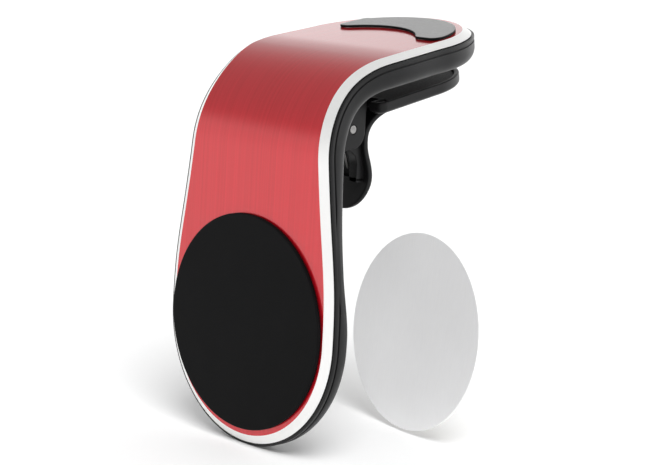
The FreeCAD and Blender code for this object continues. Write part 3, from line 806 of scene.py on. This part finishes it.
def edge_pairs(thick, radius, steps=4):
    """(inset, depth) pairs round the edge of a wall, from its outer face to its inner one."""
    pairs = [(radius + 0.15, 0.0)]
    for i in range(steps + 1):
        a = math.pi / 2 * i / steps
        pairs.append((radius * (1 - math.sin(a)), radius * (1 - math.cos(a))))
    for i in range(steps + 1):
        a = math.pi / 2 * i / steps
        pairs.append((radius * (1 - math.cos(a)), thick - radius * (1 - math.sin(a))))
    pairs.append((radius + 0.15, thick))
    return pairs


def add_lever(plastic):
    build = Builder()
    thin = lever_thinning()
    pairs = [(inset, thin(depth)) for inset, depth in edge_pairs(LEVER_WALL, 0.35)]
    skin(build, lever_outline(), pairs, on_lever)
    pairs = [(1.0, JAW_THICK)]
    for i in range(6):
        a = math.pi / 2 * i / 5
        pairs.append((JAW_UNDER_R * (1 - math.sin(a)), JAW_THICK - JAW_UNDER_R * (1 - math.cos(a))))
    pairs += [(0.0, 0.2), (0.06, 0.06), (0.2, 0.0), (JAW_RIM - 0.15, 0.0), (JAW_RIM - 0.04, 0.04),
              (JAW_RIM, 0.15), (JAW_RIM, JAW_POCKET), (JAW_RIM + 0.3, JAW_POCKET)]
    skin(build, jaw_outline(), pairs, on_jaw, notched=True)
    for side in (-1, 1):
        low, high = (KNUCKLE_IN, KNUCKLE_OUT) if side > 0 else (-KNUCKLE_OUT, -KNUCKLE_IN)
        slab(build, WEB, low, high, 0.2)
        bore = PIN_R + 0.05
        profile = [(bore, low + 0.1), (bore + 0.1, low), (KNUCKLE_R - 0.25, low),
                   (KNUCKLE_R - 0.07, low + 0.07), (KNUCKLE_R, low + 0.25), (KNUCKLE_R, high - 0.25),
                   (KNUCKLE_R - 0.07, high - 0.07), (KNUCKLE_R - 0.25, high), (bore + 0.1, high),
                   (bore, high - 0.1), (bore, low + 0.1)]
        lathe(build, profile, lambda u, v, along: (along, PIN_Y + u, PIN_Z + v), 64)
    y, z, deep, high = RIDGE
    slab(build, [(y, z), (y + deep, z), (y + deep, z + high), (y, z + high)], -KNUCKLE_OUT, KNUCKLE_OUT, 0.2)
    return build.make("lever", [plastic], angle=40.0)


def lever_thinning():
    """Depth that thins the wall where it runs into the jaw's floor."""
    top = float(LEVER_CURVE.at[-1])
    return lambda depth: lambda s: depth * (1.0 - 0.4 * smooth(s, top - 4.0, top - 1.0))


def add_jaw_pad(rubber):
    """Smooth rubber slab, sunk in the jaw's tray."""
    inset = JAW_RIM + JAW_PAD_GAP
    face = JAW_PAD_SUNK
    pairs = [(inset + 0.45, face), (inset + 0.3, face), (inset + 0.09, face + 0.09), (inset, face + 0.3),
             (inset, JAW_POCKET), (inset + 0.4, JAW_POCKET)]
    build = Builder()
    skin(build, jaw_outline(), pairs, on_jaw, notched=True)
    return build.make("jaw_pad", [rubber], angle=40.0)


def add_upper_pad(rubber):
    build = Builder()
    top = SHELL_ARM_T - STRIP_SUNK
    base = SHELL_ARM_T + STRIP_PROUD
    pairs = [(0.0, top), (0.0, base - 0.3), (0.09, base - 0.09), (0.3, base), (0.6, base)]
    skin(build, strip_outline(), pairs, on_panel)
    return build.make("upper_pad", [rubber], angle=40.0)


def add_front_pad(rubber):
    radius = PAD_D / 2
    back = FACE_Y - PAD_TAPE_T
    profile = [(0.0, 0.0), (radius - 1.2, 0.0), (radius - 0.3, 0.0)]
    for i in range(1, 6):
        a = math.pi / 2 * i / 5
        profile.append((radius - 0.3 + 0.3 * math.sin(a), 0.3 - 0.3 * math.cos(a)))
    profile += [(radius, back - 0.1), (radius - 0.1, back), (0.0, back)]
    build = Builder()
    lathe(build, profile, lambda u, v, along: (u, along, v), 240)
    return build.make("round_pad", [rubber], angle=50.0)


def crescent_outline():
    """Closed (x, s) outline: a round disc less a round bite, with blunt, rounded ends."""
    outer, bite = (0.9, 70.4, 15.3), (0.0, 62.9, 13.6)
    left_x, left_s, right_s, corner, end_corner = -11.6, 73.0, 71.0, 1.3, 2.6

    def on_circle_at_s(circle, s, sign):
        return circle[0] + sign * math.sqrt(circle[2] ** 2 - (s - circle[1]) ** 2)

    points = []
    right_x = on_circle_at_s(outer, right_s, 1)
    from_s = right_s + end_corner
    start = math.degrees(math.atan2(from_s - outer[1], on_circle_at_s(outer, from_s, 1) - outer[0]))
    end_s = outer[1] + math.sqrt(outer[2] ** 2 - (left_x + corner - outer[0]) ** 2)
    end = math.degrees(math.atan2(end_s - outer[1], left_x + corner - outer[0]))
    points += [(x, s) for x, s, _, _ in arc_points(*outer, start, end, 60, last=True)]
    points += bent((points[-1]), (left_x, end_s), (left_x, end_s - corner), 8)
    bite_left = on_circle_at_s(bite, left_s, -1)
    points += bent((left_x, left_s + corner), (left_x, left_s), (left_x + corner, left_s), 8)
    low = math.degrees(math.atan2(left_s + 0.9 - bite[1], on_circle_at_s(bite, left_s + 0.9, -1) - bite[0]))
    onto_bite = (on_circle_at_s(bite, left_s + 0.9, -1), left_s + 0.9)
    points += bent((bite_left - 1.1, left_s), (bite_left, left_s), onto_bite, 8)
    high = math.degrees(math.atan2(right_s + 0.9 - bite[1], on_circle_at_s(bite, right_s + 0.9, 1) - bite[0]))
    points += [(x, s) for x, s, _, _ in arc_points(*bite, low, high, 40, last=True)]
    bite_right = on_circle_at_s(bite, right_s, 1)
    points += bent(points[-1], (bite_right, right_s), (bite_right + 1.1, right_s), 8)
    points += bent((right_x - end_corner, right_s), (right_x, right_s), points[0], 12)
    clean = [points[0]]
    for p in points[1:]:
        if math.dist(p, clean[-1]) > 0.02:
            clean.append(p)
    if math.dist(clean[-1], clean[0]) < 0.02:
        clean.pop()
    return clean


def bent(a, b, c, steps):
    """Points of a soft corner from a to c, pulled towards b."""
    out = []
    for i in range(steps + 1):
        t = i / steps
        out.append(tuple((1 - t) ** 2 * p + 2 * t * (1 - t) * q + t ** 2 * r for p, q, r in zip(a, b, c)))
    return out


def add_crescent(grain_and_painted_sheen, plain):
    build = Builder()
    outline = crescent_outline()
    count = len(outline)
    top = -ARM_TAPE_T - ARM_PAD_T
    levels = [(0.0, -ARM_TAPE_T), (0.0, top + 0.12), (0.035, top + 0.035), (0.12, top), (0.3, top)]
    loops = []
    for inset, depth in levels:
        loop = []
        for i in range(count):
            before, after = outline[i - 1], outline[(i + 1) % count]
            tx, ts = after[0] - before[0], after[1] - before[1]
            length = math.hypot(tx, ts)
            x = outline[i][0] - ts / length * inset
            s = outline[i][1] + tx / length * inset
            loop.append(build.add(on_panel(x, s, depth)))
        loops.append(loop)
    # The top face and its rounded edge take the lighter material, a painted sheen of grazing light. The sides
    # and the underside take the plain dark rubber.
    build.rings(loops, slots=(1, 1, 0, 0))
    build.face(loops[0], 1)
    build.face(loops[-1])
    return build.make("crescent", [grain_and_painted_sheen, plain], angle=50.0)


def add_pin(steel):
    build = Builder()
    half = []
    for r, x in ((0.0, EAR_OUT - 0.3), (0.4, EAR_OUT), (PIN_R - 0.12, EAR_OUT),
                 (PIN_R - 0.035, EAR_OUT - 0.035), (PIN_R, EAR_OUT - 0.12)):
        half.append((r, x))
    profile = half + [(r, -x) for r, x in half[::-1]]
    lathe(build, profile, lambda u, v, along: (along, PIN_Y + u, PIN_Z + v), 48)
    return build.make("pin", [steel], angle=40.0)


def add_spring(steel):
    height = SPRING_PITCH * SPRING_TURNS
    starts = []
    for target, hand in ((SPRING_FRONT_END, 1), (SPRING_BACK_END, -1)):
        dy, dz = target[0] - PIN_Y, target[1] - PIN_Z
        reach = math.hypot(dy, dz)
        lean = hand * math.asin(SPRING_R / reach)
        uy, uz = dy / reach, dz / reach
        direction = (uy * math.cos(lean) - uz * math.sin(lean), uy * math.sin(lean) + uz * math.cos(lean))
        run = math.sqrt(reach ** 2 - SPRING_R ** 2)
        start = (target[0] - direction[0] * run, target[1] - direction[1] * run)
        starts.append((target, start, math.atan2(start[1] - PIN_Z, start[0] - PIN_Y)))
    (first_end, first_start, a0), (last_end, last_start, a1) = starts
    turns = SPRING_TURNS - 1 + ((a0 - a1) % (2 * math.pi)) / (2 * math.pi)

    def halfway(a, b):
        return (a[0] + b[0]) / 2, (a[1] + b[1]) / 2

    points = [(-height / 2, *first_end), (-height / 2, *halfway(first_end, first_start))]
    steps = 30 * SPRING_TURNS
    for i in range(steps + 1):
        a = a0 - 2 * math.pi * turns * i / steps
        points.append((-height / 2 + height * i / steps,
                       PIN_Y + SPRING_R * math.cos(a), PIN_Z + SPRING_R * math.sin(a)))
    points += [(height / 2, *halfway(last_end, last_start)), (height / 2, *last_end)]
    build = Builder()
    tube(build, points, SPRING_WIRE / 2)
    return build.make("spring", [steel], angle=60.0)


def on_phone_plate(u, v, along):
    """Point in the loose plate's own place; along is the distance behind its front face."""
    y = along * math.cos(PHONE_PLATE_LEAN) + v * math.sin(PHONE_PLATE_LEAN)
    z = v * math.cos(PHONE_PLATE_LEAN) - along * math.sin(PHONE_PLATE_LEAN)
    x = u * math.cos(PHONE_PLATE_TURN) - y * math.sin(PHONE_PLATE_TURN)
    y = u * math.sin(PHONE_PLATE_TURN) + y * math.cos(PHONE_PLATE_TURN)
    return (x + PHONE_PLATE_AT[0], y + PHONE_PLATE_AT[1], z + PHONE_PLATE_AT[2])


def add_phone_plate(steel):
    radius = PHONE_PLATE_D / 2
    edge = 0.08
    profile = [(0.0, 0.0), (radius - 0.5, 0.0), (radius - edge, 0.0), (radius - edge * 0.3, edge * 0.3),
               (radius, edge), (radius, PHONE_PLATE_T - edge),
               (radius - edge * 0.3, PHONE_PLATE_T - edge * 0.3), (radius - edge, PHONE_PLATE_T),
               (0.0, PHONE_PLATE_T)]
    build = Builder()
    lathe(build, profile, on_phone_plate, 240)
    return build.make("steel_disc", [steel], angle=40.0)


def settle(piece, body, node):
    """Ride on a body and stand in for a CAD node, which is hidden."""
    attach(piece, body)
    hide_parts(node)


add_camera()
add_studio()

red, silver, plastic = red_aluminium(), cut_aluminium(), black_plastic()
# crescent_rubber has a painted sheen: its base colour is lighter than the dark rubber it stands for on the
# arm pad's top.
rubber, crescent, soft = pad_rubber(), crescent_rubber(), jaw_rubber()
steel, satin = bright_steel(), disc_steel()

settle(add_face_plate(red, silver), "mount", "face_plate")
settle(add_bezel(plastic), "mount", "front_bezel")
settle(add_shell(plastic), "mount", "back_shell")
settle(add_front_pad(rubber), "mount", "front_pad")
settle(add_crescent(crescent, rubber), "mount", "arm_pad")
settle(add_upper_pad(soft), "mount", "upper_jaw_pad")
settle(add_pin(steel), "mount", "pivot_pin")
spring = add_spring(steel)
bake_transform(spring)
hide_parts("torsion_spring")
settle(add_lever(plastic), "lever", "clip_lever")
settle(add_jaw_pad(soft), "lever", "lower_jaw_pad")
settle(add_phone_plate(satin), "phone_disc", "phone_plate")

kept = {
    "tape": plain_surface("tape", (0.60, 0.59, 0.55), (0.68, 0.67, 0.63), 0.55),
    "magnet": plain_surface("nickel", (0.66, 0.65, 0.63), (0.74, 0.73, 0.71), 0.20, 1.0),
    "plain_steel": plain_surface("zinc_steel", (0.48, 0.49, 0.50), (0.58, 0.59, 0.60), 0.34, 1.0),
    "liner": plain_surface("liner_paper", (0.56, 0.55, 0.51), (0.62, 0.61, 0.57), 0.7),
}
slots = {entry["node"]: entry["material_slot"] for entry in frame["record"]["subparts"]}
for node, piece in frame["nodes"].items():
    material = kept.get(slots[node])
    if material:
        for slot in piece.material_slots:
            slot.material = material
